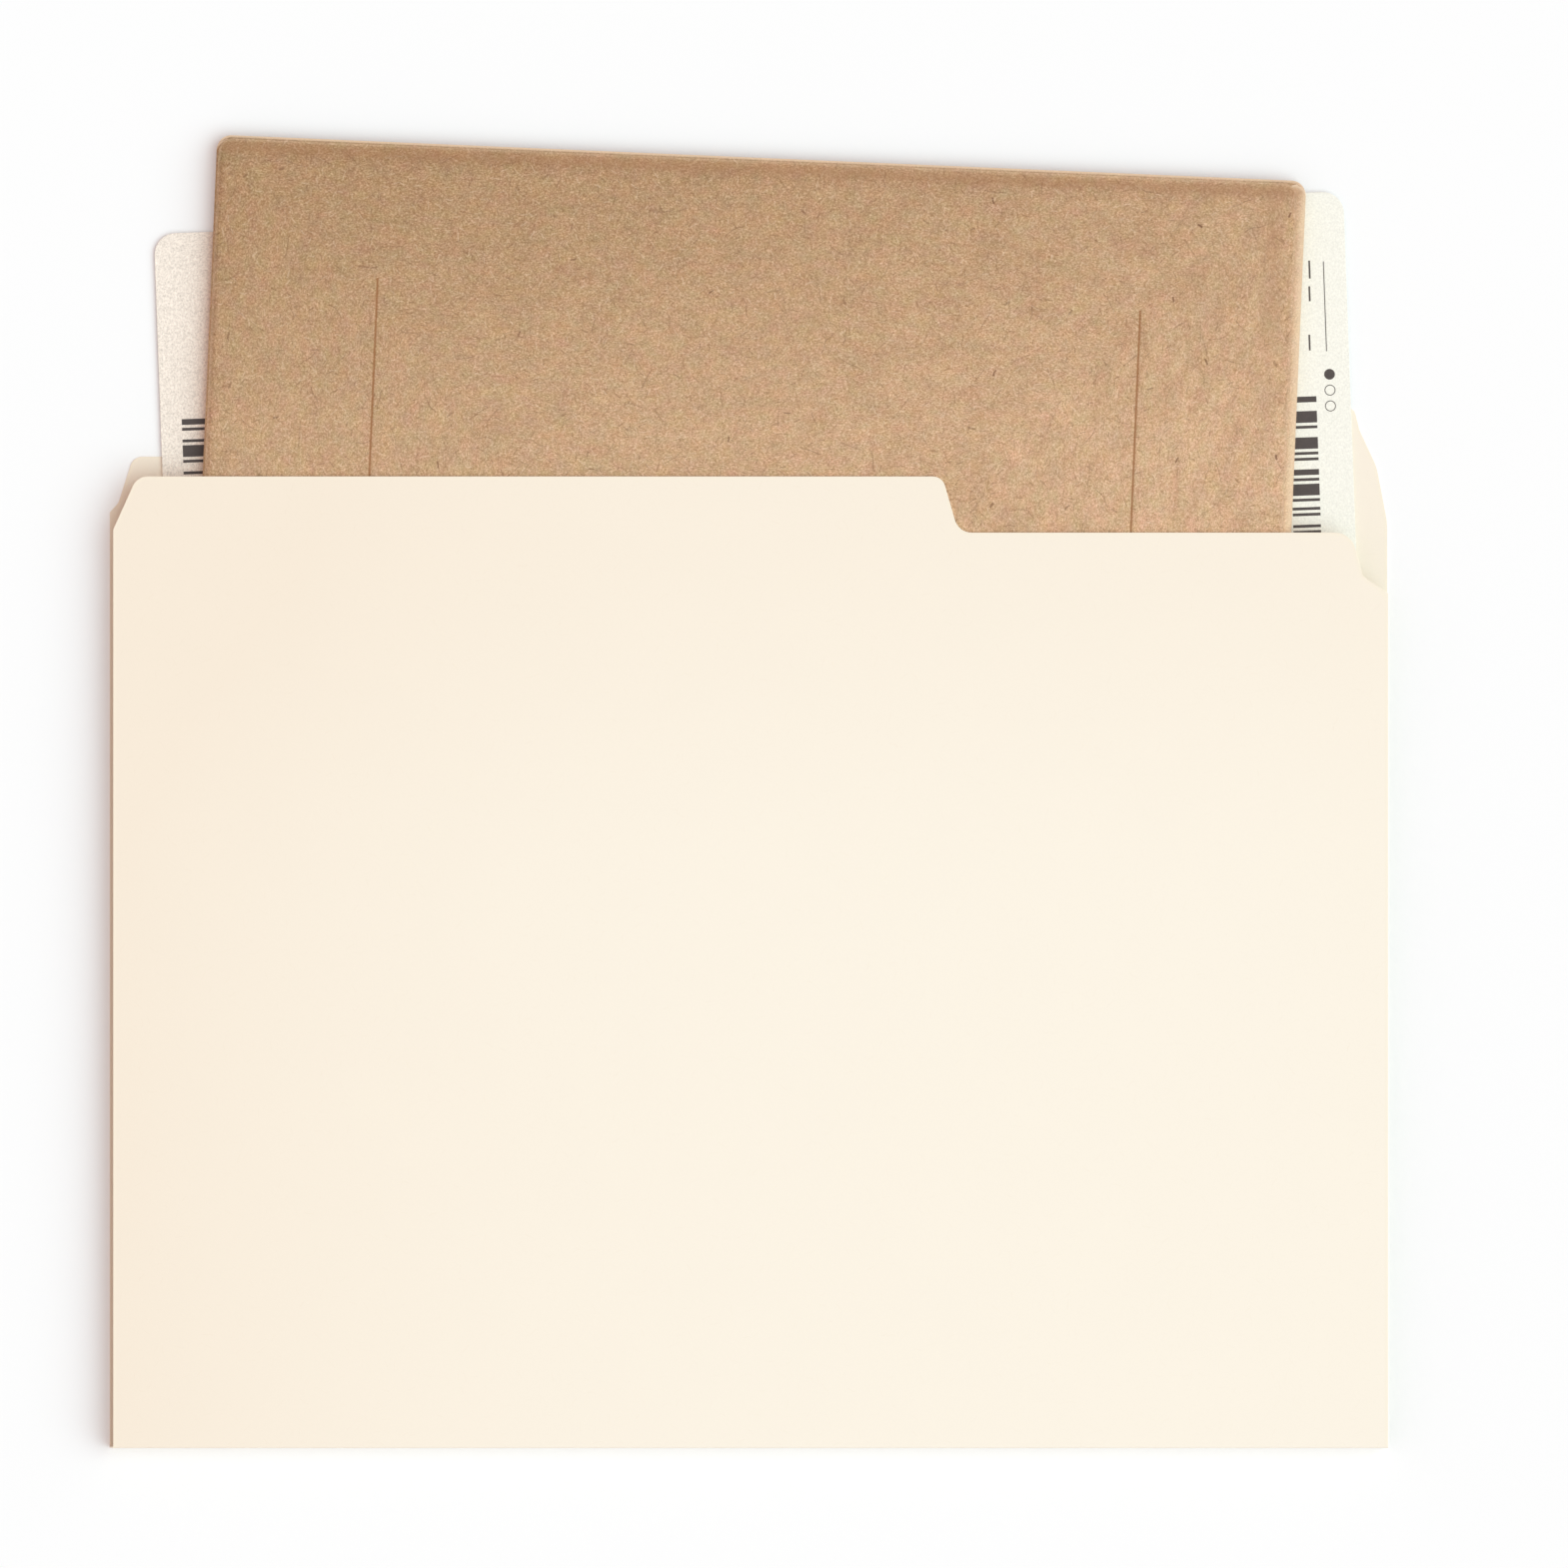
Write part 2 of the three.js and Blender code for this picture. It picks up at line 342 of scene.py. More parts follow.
class CardSettings(bpy.types.PropertyGroup):
    """Sizes and colours of the card and of the marks on it."""

    card: length_property("Card thickness", "Thickness of the card", 0.3)
    rounding: length_property("Edge rounding", "Radius of the card's cut edges", 0.08)
    ink_height: length_property("Ink height", "How far the ink stands on the card", 0.015)
    # Warm card: painted shade that darkens and warms the card towards the left
    pale: colour_property("Pale card", "Colour at the right", screen(250, 248, 237))
    warm_shade: colour_property("Warm card", "Colour at the left", screen(247, 236, 223))
    ink: colour_property("Ink", "Colour of the marks", screen(78, 68, 65))


class StageSettings(bpy.types.PropertyGroup):
    """Floor and light of the studio."""

    floor: colour_property("Floor", "Colour of the floor", (0.86, 0.86, 0.86))
    glow: share_property("Floor glow", "How far the floor shines for the camera alone", 0.13)
    fill: colour_property("Fill light", "Light from all round", (0.65, 0.53, 0.51))
    key_tilt: angle_property("Key height", "Height of the key light above the horizon", 50)
    key_turn: angle_property("Key direction", "Where the key light comes from, from the right", -12)
    key_spread: angle_property("Key softness", "Width of the key light seen from the folder", 68)


def unit(vectors):
    """The vectors at a length of one."""
    return vectors / np.linalg.norm(vectors, axis=-1, keepdims=True)


def smooth(value):
    """A rise from 0 to 1 with a level start and end, three times the square less twice the cube."""
    share = np.clip(value, 0, 1)
    return share * share * (3 - 2 * share)


def corner_arc(before, here, after, radius):
    """Points round one corner of a line: the arc of that radius that touches both sides."""
    if radius == 0:
        return here[None]
    back = unit(before - here)
    ahead = unit(after - here)
    half = math.acos(back @ ahead) / 2
    centre = here + unit(back + ahead) * radius / math.sin(half)
    arm = here + back * radius / math.tan(half) - centre
    side = math.copysign(1, ahead[0] * back[1] - ahead[1] * back[0])
    turn = side * (math.pi - 2 * half) * np.linspace(0, 1, ARC_STEPS + 1)
    across = arm[0] * np.cos(turn) - arm[1] * np.sin(turn)
    up = arm[0] * np.sin(turn) + arm[1] * np.cos(turn)
    return centre + np.column_stack([across, up])


def rounded_line(corners):
    """Points of the line through corners (x, y, radius) in millimetres, each rounded."""
    table = np.array(corners) * MM
    inner = [
        corner_arc(before[:2], here[:2], after[:2], here[2])
        for before, here, after in zip(table, table[1:], table[2:])
    ]
    return np.concatenate([table[:1, :2], *inner, table[-1:, :2]])


def spaced(line, step):
    """The line with more points, evenly set in each of its stretches, none further than step."""
    stretch = np.linalg.norm(np.diff(line, axis=0), axis=1)
    reach = np.concatenate([[0], np.cumsum(stretch)])
    count = np.maximum(1, np.ceil(stretch / step - SLIGHT)).astype(int)
    first = np.repeat(np.cumsum(count) - count, count)
    along = np.repeat(reach[:-1], count)
    along = along + np.repeat(stretch / count, count) * (np.arange(count.sum()) - first)
    along = np.append(along, reach[-1])
    return np.column_stack([np.interp(along, reach, line[:, axis]) for axis in (0, 1)])


def below(line):
    """Directions square to a line that runs to the right, pointing to its lower side.

    The first and last point lie on the sheet's sides, so theirs point straight down.
    """
    steps = unit(np.diff(line, axis=0))
    along = unit(np.concatenate([steps[:1], steps[:-1] + steps[1:], steps[-1:]]))
    along[[0, -1]] = (1, 0)
    return np.column_stack([along[:, 1], -along[:, 0]])


def blank_grid(top, foot, near=(), row_step=ROW_STEP):
    """Grid of the flat blank between its top line and its foot.

    Rows start on the top line and follow it at the distances of NEAR_EDGE, square to it. From
    there straight columns go down: at the distances in near first, and then in even steps. The
    foot is a height, where a crease follows, or a line of as many points as the top line.
    """
    upper = top + NEAR_EDGE[:, None, None] * below(top)
    if np.ndim(foot) == 0:
        lower = np.column_stack([upper[-1, :, 0], np.full(len(top), foot)])[None]
    else:
        lower = foot - NEAR_EDGE[::-1, None, None] * below(foot)
    run = lower[0] - upper[-1]
    length = -run[:, 1]
    close = (np.array(near) * MM)[:, None] / length
    last = close[-1] if len(near) else np.zeros_like(length)
    count = math.ceil(length.max() / row_step)
    even = last + (1 - last) * np.linspace(0, 1, count + 1)[1:-1, None]
    share = np.concatenate([close.reshape(-1, len(top)), even])
    return np.concatenate([upper, upper[-1] + share[..., None] * run, lower])


def distance_to_line(points, line):
    """Shortest distance of each point to a line, the least over all its stretches."""
    run = np.diff(line, axis=0)
    offset = points[..., None, :] - line[:-1]
    share = (offset * run).sum(-1) / np.maximum((run * run).sum(-1), 1e-18)
    miss = offset - np.clip(share, 0, 1)[..., None] * run
    return np.sqrt((miss * miss).sum(-1).min(-1))


def roll(reach, radius, turn):
    """A sheet that runs flat, rolls up round an arc through an angle, and runs on straight.

    reach is the distance past the start of the arc. The arc's angle is reach over radius, kept
    between 0 and turn. Gives the place along the first plane, the height above it, and the two
    parts of the direction that points away from the arc's centre.
    """
    angle = np.clip(reach / radius, 0, turn)
    rest = np.maximum(reach - radius * turn, 0)
    along = np.minimum(reach, 0) + radius * np.sin(angle) + rest * math.cos(turn)
    height = radius * (1 - np.cos(angle)) + rest * math.sin(turn)
    return along, height, np.sin(angle), -np.cos(angle)


def grid_normals(points, outwards):
    """Directions square to a surface on a grid, on the side that outwards points to."""
    normals = unit(np.cross(np.gradient(points, axis=1), np.gradient(points, axis=0)))
    return normals * np.sign((normals * outwards).sum(-1, keepdims=True))


def border(rows, columns):
    """Row and column numbers once round the border of a grid."""
    there = np.arange(columns)
    down = np.arange(1, rows)
    home = np.arange(columns - 2, -1, -1)
    up = np.arange(rows - 2, 0, -1)
    row = np.concatenate([0 * there, down, 0 * home + rows - 1, up])
    column = np.concatenate([there, 0 * down + columns - 1, home, 0 * up])
    return row, column


def border_directions(points, normals, seam, hand):
    """For each point of a grid's border, the direction out of the sheet, and whether it is cut.

    The direction is square to the border and to the sheet's own normal. Where seam is true the
    last row meets another piece: it isn't cut, and at its two ends only the sides count.
    """
    row, column = border(*points.shape[:2])
    loop = points[row, column]
    step = unit(np.roll(loop, -1, axis=0) - loop)
    last = points.shape[0] - 1
    in_seam = seam & (row == last) & (np.roll(row, -1) == last)
    weight = np.where(in_seam, SLIGHT, 1.0)[:, None]
    along = unit(step * weight + np.roll(step * weight, 1, axis=0))
    out = unit(np.cross(normals[row, column], along)) * -hand
    cut = ~(in_seam & np.roll(in_seam, 1))
    return out, cut


def quads(first, second, third, fourth):
    """Faces of four corners from four arrays of vertex numbers."""
    return np.stack([first, second, third, fourth], axis=-1).reshape(-1, 4)


def sheet_mesh(name, points, outwards, blank, thickness, rounding, seam=False):
    """A closed sheet of even thickness on a grid of points in its middle surface.

    Its two faces lie half the thickness to each side along the normal. Its edge is the border
    carried round a section of a quarter circle, a flat and a quarter circle. blank gives each
    point's two places in the flat blank and its distance from the nearest cut edge.
    """
    normals = grid_normals(points, outwards)
    rows, columns = points.shape[:2]
    row, column = border(rows, columns)
    middle = (rows // 2, columns // 2)
    right, down = points[middle[0], middle[1] + 1], points[middle[0] + 1, middle[1]]
    facing = np.cross(right - points[middle], down - points[middle])
    hand = float(np.sign(facing @ normals[middle]))
    out, cut = border_directions(points, normals, seam, hand)

    half = thickness / 2
    loop = points[row, column]
    across = normals[row, column]
    pull = (rounding * cut)[:, None] * out
    outer = points + half * normals
    inner = points - half * normals
    outer[row, column] -= pull
    inner[row, column] -= pull
    angle = RIM_ANGLES[:, None, None]
    height = RIM_SIDE[:, None, None] * (half - rounding) + rounding * np.cos(angle)
    rings = loop + (np.sin(angle) - 1) * pull + height * across
    ring_normals = np.sin(angle) * out + np.cos(angle) * across

    number = np.arange(rows * columns).reshape(rows, columns)
    total = rows * columns
    around = 2 * total + np.arange(len(rings) * len(row)).reshape(len(rings), len(row))
    ladder = np.concatenate([number[row, column][None], around, total + number[row, column][None]])
    ahead = np.roll(ladder, -1, axis=1)
    corners = number[:-1, :-1], number[:-1, 1:], number[1:, 1:], number[1:, :-1]
    faces = np.concatenate([
        quads(*corners),
        quads(*corners)[:, ::-1] + total,
        quads(ladder[:-1], ladder[1:], ahead[1:], ahead[:-1]),
    ])
    if hand < 0:
        faces = faces[:, ::-1]

    ring_blank = np.broadcast_to(blank[row, column], (len(rings), len(row), 3))
    places = [part.reshape(-1, 3) for part in (outer, inner, rings)]
    directions = [part.reshape(-1, 3) for part in (normals, -normals, ring_normals)]
    flats = [part.reshape(-1, 3) for part in (blank, blank, ring_blank)]
    mesh = bpy.data.meshes.new(name)
    mesh.from_pydata(np.concatenate(places).tolist(), [], faces.tolist())
    flat = mesh.attributes.new("blank", "FLOAT_VECTOR", "POINT")
    flat.data.foreach_set("vector", np.concatenate(flats).ravel())
    mesh.shade_smooth()
    mesh.normals_split_custom_set_from_vertices(np.concatenate(directions).tolist())
    return mesh


def add_object(name, data):
    """Puts a new object into the scene."""
    made = bpy.data.objects.new(name, data)
    bpy.context.scene.collection.objects.link(made)
    return made


def add_piece(mesh, material, slot, *nodes):
    """Puts a finished mesh into the scene as a piece that stands for the named solids."""
    piece = add_object(mesh.name, mesh)
    mesh.materials.append(material)
    if nodes:
        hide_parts(*nodes)
    return piece


def turned(points, angle):
    """Points or directions turned about +Z."""
    across = points[..., 0] * math.cos(angle) - points[..., 1] * math.sin(angle)
    up = points[..., 0] * math.sin(angle) + points[..., 1] * math.cos(angle)
    return np.stack([across, up, points[..., 2]], axis=-1)


def back_line(foot):
    """Outline of the back leaf from the foot of its left side over the tab to its right side."""
    left = -FOLDER_WIDTH / 2
    right = FOLDER_WIDTH / 2
    tab_right = right - TAB_RIGHT_INSET
    tab_left = tab_right - TAB_WIDTH + TAB_LEFT_RUN
    neck = (tab_right + TAB_NECK_RUN, TAB_TOP - TAB_NECK_DROP)
    bend = (neck[0] + TAB_BEND_RUN, neck[1] - TAB_BEND_DROP)
    flare = (left + BACK_FLARE_RUN, BACK_BODY_HEIGHT - BACK_SHOULDER_DROP)
    return rounded_line([
        (left, foot, 0),
        (left, flare[1] - BACK_FLARE_DROP, 0),
        (*flare, 3),
        (flare[0] + BACK_SHOULDER_RUN, BACK_BODY_HEIGHT, 3),
        (tab_left - TAB_LEFT_RUN, BACK_BODY_HEIGHT, 4),
        (tab_left, TAB_TOP, 3),
        (tab_right, TAB_TOP, 2),
        (*neck, 4),
        (*bend, 12),
        (right, bend[1] - TAB_FOOT_DROP, 20),
        (right, foot, 0),
    ])


def front_line(foot):
    """Outline of the front leaf from the foot of its left side over its step to its right side."""
    left = -FOLDER_WIDTH / 2 + FRONT_LEFT_INSET
    right = FOLDER_WIDTH / 2
    low = FRONT_HEIGHT - FRONT_STEP_DROP
    cut = (right - FRONT_FLARE_RUN, low - FRONT_CUT_DROP)
    return rounded_line([
        (left, foot, 0),
        (left, FRONT_HEIGHT - FRONT_SHOULDER_DROP, 1.5),
        (left + FRONT_SHOULDER_RUN, FRONT_HEIGHT, 3.8),
        (FRONT_STEP_FOOT - FRONT_STEP_RUN, FRONT_HEIGHT, 3),
        (FRONT_STEP_FOOT, low, 4),
        (cut[0] - FRONT_CUT_RUN, low, 5),
        (*cut, 1.5),
        (right, cut[1] - FRONT_FLARE_DROP, 0),
        (right, foot, 0),
    ])


def carried_on(flat, heights, share, side):
    """A grid with more rows below it, each widened by its own share towards a half width."""
    foot = flat[-1, :, 0]
    spread = np.interp(foot, [foot[0], foot[-1]], [-side, side])
    across = foot + share[:, None] * (spread - foot)
    rows = np.stack([across, np.broadcast_to(heights[:, None], across.shape)], axis=-1)
    return np.concatenate([flat, rows])


def leaf_mesh(name, line_of, settings, at_front):
    """One leaf of the folder with its crease and half the spine.

    The blank runs flat down to the crease, rolls up through a right angle and goes on straight
    to the middle of the spine. The front leaf is the same, mirrored in the folder's middle.
    """
    board = settings.board
    radius = settings.crease_radius
    start = board / 2 + radius
    arc = radius * math.pi / 2
    middle = FOLDER_DEPTH * MM / 2
    seam = start - arc - (middle - start)
    line = line_of(seam / MM)
    flat = blank_grid(spaced(line[1:-1], COLUMN_STEP), start)
    crease = np.linspace(start, start - arc, CREASE_ROWS)[1:]
    heights = np.append(crease, [seam - (seam - start + arc) / 2, seam])
    share = (start - heights) / (start - seam)
    grid = carried_on(flat, heights, share, FOLDER_WIDTH * MM / 2)
    along, height, out_along, out_height = roll(start - grid[..., 1], radius, math.pi / 2)
    points = np.stack([grid[..., 0], start - along - TAB_TOP * MM / 2, board / 2 + height], axis=-1)
    outwards = np.stack([0 * along, -out_along, out_height], axis=-1)
    if at_front:
        points[..., 2] = 2 * middle - points[..., 2]
        outwards[..., 2] *= -1
    blank = np.dstack([grid, distance_to_line(grid, line)])
    return sheet_mesh(name, points, outwards, blank, board, settings.rounding, seam=True)


class FILE_FOLDER_OT_make_leaves(bpy.types.Operator):
    """Make both leaves of the folder, each with its crease and half of the spine."""

    bl_idname = "file_folder.make_leaves"
    bl_label = "Make the leaves"

    def execute(self, context):
        settings = context.scene.folder_settings
        manila = manila_material(settings)
        back = leaf_mesh("folder_back", back_line, settings, at_front=False)
        back = add_piece(back, manila, "manila", "back_leaf")
        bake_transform(back)
        front = leaf_mesh("folder_front", front_line, settings, at_front=True)
        front = add_piece(front, manila, "manila", "front_leaf", "spine_strip")
        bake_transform(front)
        return {"FINISHED"}


def envelope_placed(points, directions):
    """Envelope points and directions, from its mouth's middle to their place in the folder."""
    foot = np.array([ENVELOPE_WIDTH / 2, -ENVELOPE_HEIGHT, 0.0]) * MM
    corner = np.array([
        FOLDER_WIDTH / 2 - ENVELOPE_FOOT_INSET,
        BOARD + ENVELOPE_FOOT_ROOM - TAB_TOP / 2,
        ENVELOPE_LEVEL,
    ]) * MM
    shift = corner - turned(foot, ENVELOPE_TURN)
    return turned(points, ENVELOPE_TURN) + shift, turned(directions, ENVELOPE_TURN)


def press_mouth(points, over, settings):
    """Presses the envelope's mouth together.

    Heights shrink towards the middle between the rear panel and the flaps, by a share that
    rises smoothly from the mouth's depth and is full in its upper fifth. A sheet that lies over
    the flaps keeps that distance from them at the sides and comes down too in the middle.
    """
    pressed = smooth(MOUTH_STEEPNESS * (1 + points[..., 1] / settings.mouth_depth))
    share = settings.mouth_press * pressed
    middle = ((ENVELOPE_DEPTH - GLUE_GAP) * MM - settings.paper) / 2
    pocket = points[..., 2] - over
    inset = ENVELOPE_WIDTH * MM / 2 - np.abs(points[..., 0])
    above = over * (1 - share * smooth(inset / (SAG_RUN * MM) - SAG_START))
    points[..., 2] = middle + (pocket - middle) * (1 - share) + above


def wrinkle_height(across, up):
    """Height of the wrinkles, from the floor of their dips to 1.

    Each wrinkle is a ridge or a shallow dip with a bell-shaped section, on a line that leans to
    the right, and fades out along that line by a wider bell. Most are random, and stronger to the
    right; the ridges near the right edge have their places. Further down the front leaf holds the
    envelope flat.
    """
    random = np.random.default_rng(11)
    ranges = [random.uniform(low, high, WRINKLE_COUNT) for low, high in WRINKLE_RANGES]
    more = WRINKLE_MORE * smooth((ranges[0] - WRINKLE_MORE_FROM) / WRINKLE_MORE_RUN)
    strength = random.choice(WRINKLE_SIGNS, WRINKLE_COUNT) * (WRINKLE_LEFT + more)
    loose = np.column_stack([*ranges, strength])
    middle_x, middle_y, lean, width, length, strength = np.concatenate([loose, EDGE_RIDGES]).T
    lean = np.radians(lean)
    x = across[..., None] / MM - middle_x
    y = up[..., None] / MM - middle_y
    along = x * np.cos(lean) + y * np.sin(lean)
    aside = y * np.cos(lean) - x * np.sin(lean)
    bells = np.exp(-((aside / width) ** 2) - (along / length) ** 2)
    held = 1 - HELD_SHARE * smooth((HELD_FROM * MM - up) / (HELD_RUN * MM))
    return np.clip((strength * bells).sum(-1), WRINKLE_FLOOR, 1) * held


def flap_marks():
    """Places across the envelope of the two inner edges of its flaps, left and right."""
    half = ENVELOPE_WIDTH / 2
    return np.array([LEFT_FLAP_WIDTH - half, half - RIGHT_FLAP_WIDTH]) * MM


def bottom_fold(settings):
    """Radius of the bottom fold in mid paper, and the height at which it begins."""
    radius = (ENVELOPE_DEPTH * MM - settings.paper) / 2
    return radius, -ENVELOPE_HEIGHT * MM + radius + settings.paper / 2


def face_lift(grid, edge, start, settings):
    """How far wrinkles, settled edges and the groove along each flap's edge move the face."""
    across = grid[..., 0]
    up = grid[..., 1]
    calm = smooth((up - start) / (FOOT_CALM * MM))
    lift = settings.wrinkle * wrinkle_height(across, up)
    lift *= smooth(edge / (EDGE_CALM * MM))
    lift -= settings.settle * smooth(1 - edge / (EDGE_SETTLE * MM))
    lift *= calm
    aside = np.abs(across[..., None] - flap_marks()).min(-1)
    begun = smooth((-FLAP_TOP_DROP * MM - up) / (GROOVE_START * MM)) * calm
    return lift - settings.groove * np.exp(-((aside / (GROOVE_HALF_WIDTH * MM)) ** 2)) * begun


def face_mesh(settings):
    """The envelope's face and its bottom fold, one sheet rolled through half a turn at its foot.

    At its sides all heights shrink by the round of the side folds, and the bottom fold widens to
    close the two corners.
    """
    paper = settings.paper
    radius, start = bottom_fold(settings)
    end = start - math.pi * radius
    left = -ENVELOPE_WIDTH / 2 + FACE_LEFT_INSET
    right = ENVELOPE_WIDTH / 2 - FACE_RIGHT_INSET
    marks = [(mark / MM + step, -MOUTH_LIP, 0) for mark in flap_marks() for step in NEAR_MARK]
    line = rounded_line([
        (left, end / MM, 0),
        (left, -MOUTH_LIP, ENVELOPE_CORNER),
        *marks,
        (right, -MOUTH_LIP, ENVELOPE_CORNER),
        (right, end / MM, 0),
    ])
    flat = blank_grid(spaced(line[1:-1], FACE_COLUMN_STEP), start, FACE_NEAR_MOUTH, FACE_ROW_STEP)
    heights = np.linspace(start, end, FOLD_ROWS)[1:]
    widen = smooth((start - heights) / radius)
    grid = carried_on(flat, heights, widen, ENVELOPE_WIDTH / 2 * MM - paper)
    along, height, out_along, out_height = roll(start - grid[..., 1], radius, math.pi)
    fold_radius = (ENVELOPE_DEPTH - GLUE_GAP) * MM / 2
    beyond = np.abs(grid[..., 0]) + fold_radius - ENVELOPE_WIDTH * MM / 2
    shrink = np.sqrt(1 - np.clip(beyond / fold_radius, 0, 1) ** 2)
    rise = (radius - height) * shrink
    along = np.where(along > 0, along * shrink, along)
    points = np.stack([grid[..., 0], start - along, ENVELOPE_DEPTH * MM / 2 + rise], axis=-1)
    outwards = np.stack([0 * along, -out_along, -out_height], axis=-1)
    edge = distance_to_line(grid, line)
    points[..., 2] += face_lift(grid, edge, start, settings)
    press_mouth(points, GLUE_GAP * MM + paper - settings.settle, settings)
    blank = np.dstack([grid, edge])
    points, outwards = envelope_placed(points, outwards)
    return sheet_mesh("envelope_face", points, outwards, blank, paper, settings.rounding, seam=True)


def body_top(reach, radius, side):
    """Height of the body's upper edge at a distance across its blank.

    Flat at the mouth; then the rounded corner, a circle in the folded envelope as seen from the
    front, which sinks by the lip on its way round the fold; then a short shoulder that sinks by
    the lip once more, and a straight line down to the inner edge of a flap of mean width.
    """
    corner = ENVELOPE_CORNER * MM
    along = roll(reach - side, radius, math.pi)[0]
    past = np.clip(along + corner - radius, 0, corner)
    quarter = side + radius * math.pi / 2
    fold_end = side + radius * math.pi
    lip = MOUTH_LIP * MM * smooth((reach - quarter) / (fold_end - quarter))
    rounded = np.sqrt(corner**2 - past**2) - corner - lip
    inner = fold_end + (RIGHT_FLAP_WIDTH + LEFT_FLAP_WIDTH) / 2 * MM - radius
    level = -MOUTH_LIP * MM
    ends = [level, 2 * level, -FLAP_TOP_DROP * MM]
    straight = np.interp(reach, [fold_end, fold_end + FLAP_SHOULDER * MM, inner], ends)
    return np.where(reach < fold_end, rounded, straight) - MOUTH_TRIM * MM


def body_mesh(settings):
    """The envelope's rear panel, side folds and flaps, one sheet rolled up at both sides."""
    paper = settings.paper
    outer = (ENVELOPE_DEPTH - GLUE_GAP) * MM / 2 - paper / 2
    radius = outer - paper / 2
    side = ENVELOPE_WIDTH * MM / 2 - outer
    fold_end = side + radius * math.pi
    ends = fold_end + (np.array([LEFT_FLAP_WIDTH, RIGHT_FLAP_WIDTH]) * MM - outer)
    fold = np.linspace(side - FOLD_MARGIN * MM, fold_end, FOLD_COLUMNS)
    left = -np.concatenate([np.linspace(ends[0], fold_end, FLAP_COLUMNS)[:-1], fold[::-1]])
    right = np.concatenate([fold, np.linspace(fold_end, ends[1], FLAP_COLUMNS)[1:]])
    panel = np.linspace(left[-1], right[0], PANEL_COLUMNS)[1:-1]
    across = np.concatenate([left, panel, right])
    reach = np.abs(across)
    foot = bottom_fold(settings)[1]
    rise = FLAP_BOTTOM_RISE * MM - ENVELOPE_HEIGHT * MM - foot
    top = np.column_stack([across, body_top(reach, radius, side)])
    share = smooth((reach - fold_end) / (FLAP_FOOT_RUN * MM))
    low = np.column_stack([across, foot + rise * share])
    length = (top - low)[:, 1]
    last = BODY_NEAR_MOUTH[-1] / length
    even = last + (1 - last) * np.linspace(0, 1, BODY_ROWS)[1:, None]
    down = np.concatenate([BODY_NEAR_MOUTH[:, None] / length, even])
    grid = top + down[..., None] * (low - top)
    past = np.abs(grid[..., 0]) - side
    along, height, out_along, out_height = roll(past, radius, math.pi)
    sign = np.sign(grid[..., 0])
    points = np.stack([sign * (side + along), grid[..., 1], paper / 2 + height], axis=-1)
    outwards = np.stack([sign * out_along, 0 * along, out_height], axis=-1)
    press_mouth(points, 0.0, settings)
    line = np.concatenate([low[:1], top, low[-1:]])
    blank = np.dstack([grid, distance_to_line(grid, line)])
    points, outwards = envelope_placed(points, outwards)
    return sheet_mesh("envelope_body", points, outwards, blank, paper, settings.rounding)


class FILE_FOLDER_OT_make_envelope(bpy.types.Operator):
    """Make the kraft envelope: its body with both flaps, and its face with the bottom fold."""

    bl_idname = "file_folder.make_envelope"
    bl_label = "Make the envelope"

    def execute(self, context):
        settings = context.scene.envelope_settings
        body = add_piece(
            body_mesh(settings),
            kraft_material("kraft_body", settings, 0.8),
            "kraft",
            "envelope_rear_panel",
            "envelope_left_fold",
            "envelope_right_fold",
            "envelope_left_flap",
            "envelope_right_flap",
        )
        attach(body, "envelope")
        face_nodes = ("envelope_face_panel", "envelope_bottom_fold")
        kraft = kraft_material("kraft_face", settings, 0.2)
        face = add_piece(face_mesh(settings), kraft, "kraft", *face_nodes)
        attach(face, "envelope")
        return {"FINISHED"}


def card_placed(points, level):
    """Card points, from the middle of its top edge to their place in the folder."""
    shift = np.array([0, (TAB_TOP / 2 + CARD_STAND_OUT) * MM, level])
    return turned(points, CARD_TURN) + shift


def card_mesh(settings):
    """The card, a flat sheet between an upper and a lower line with the same rounded corners."""
    half = CARD_WIDTH / 2
    line = rounded_line([
        (-half, -CARD_HEIGHT / 2, 0),
        (-half, 0, CARD_CORNER),
        (half, 0, CARD_CORNER),
        (half, -CARD_HEIGHT / 2, 0),
    ])
    top = spaced(line[1:-1], 2 * COLUMN_STEP)
    foot = top * (1, -1) - (0, CARD_HEIGHT * MM)
    grid = blank_grid(top, foot)
    low = line * (1, -1) - (0, CARD_HEIGHT * MM)
    edge = np.minimum(distance_to_line(grid, line), distance_to_line(grid, low))
    points = card_placed(np.dstack([grid, 0 * edge]), CARD_LEVEL * MM + settings.card / 2)
    outwards = np.broadcast_to([0.0, 0.0, 1.0], points.shape)
    blank = np.dstack([grid, edge])
    return sheet_mesh("cream_card", points, outwards, blank, settings.card, settings.rounding)


class FILE_FOLDER_OT_make_card(bpy.types.Operator):
    """Make the cream card that stands behind the envelope."""

    bl_idname = "file_folder.make_card"
    bl_label = "Make the card"

    def execute(self, context):
        settings = context.scene.card_settings
        cream = cream_material(settings)
        card = add_piece(card_mesh(settings), cream, "cream_card", "printed_card")
        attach(card, "card")
        return {"FINISHED"}


def bars(left, right, top, bottom, seed):
    """Boxes of a row of printed bars, thick and thin in a mixed order, as far down as bottom."""
    random = np.random.default_rng(seed)
    thick = random.choice([1, 1, 1, 2, 4], BAR_COUNT) * THIN_BAR
    gap = random.choice([1, 1, 1, 2, 3], BAR_COUNT) * THIN_BAR
    upper = top - np.cumsum(thick + gap) + thick + gap
    lower = upper - thick
    kept = lower > bottom
    return np.column_stack([0 * upper + left, 0 * upper + right, upper, lower])[kept]


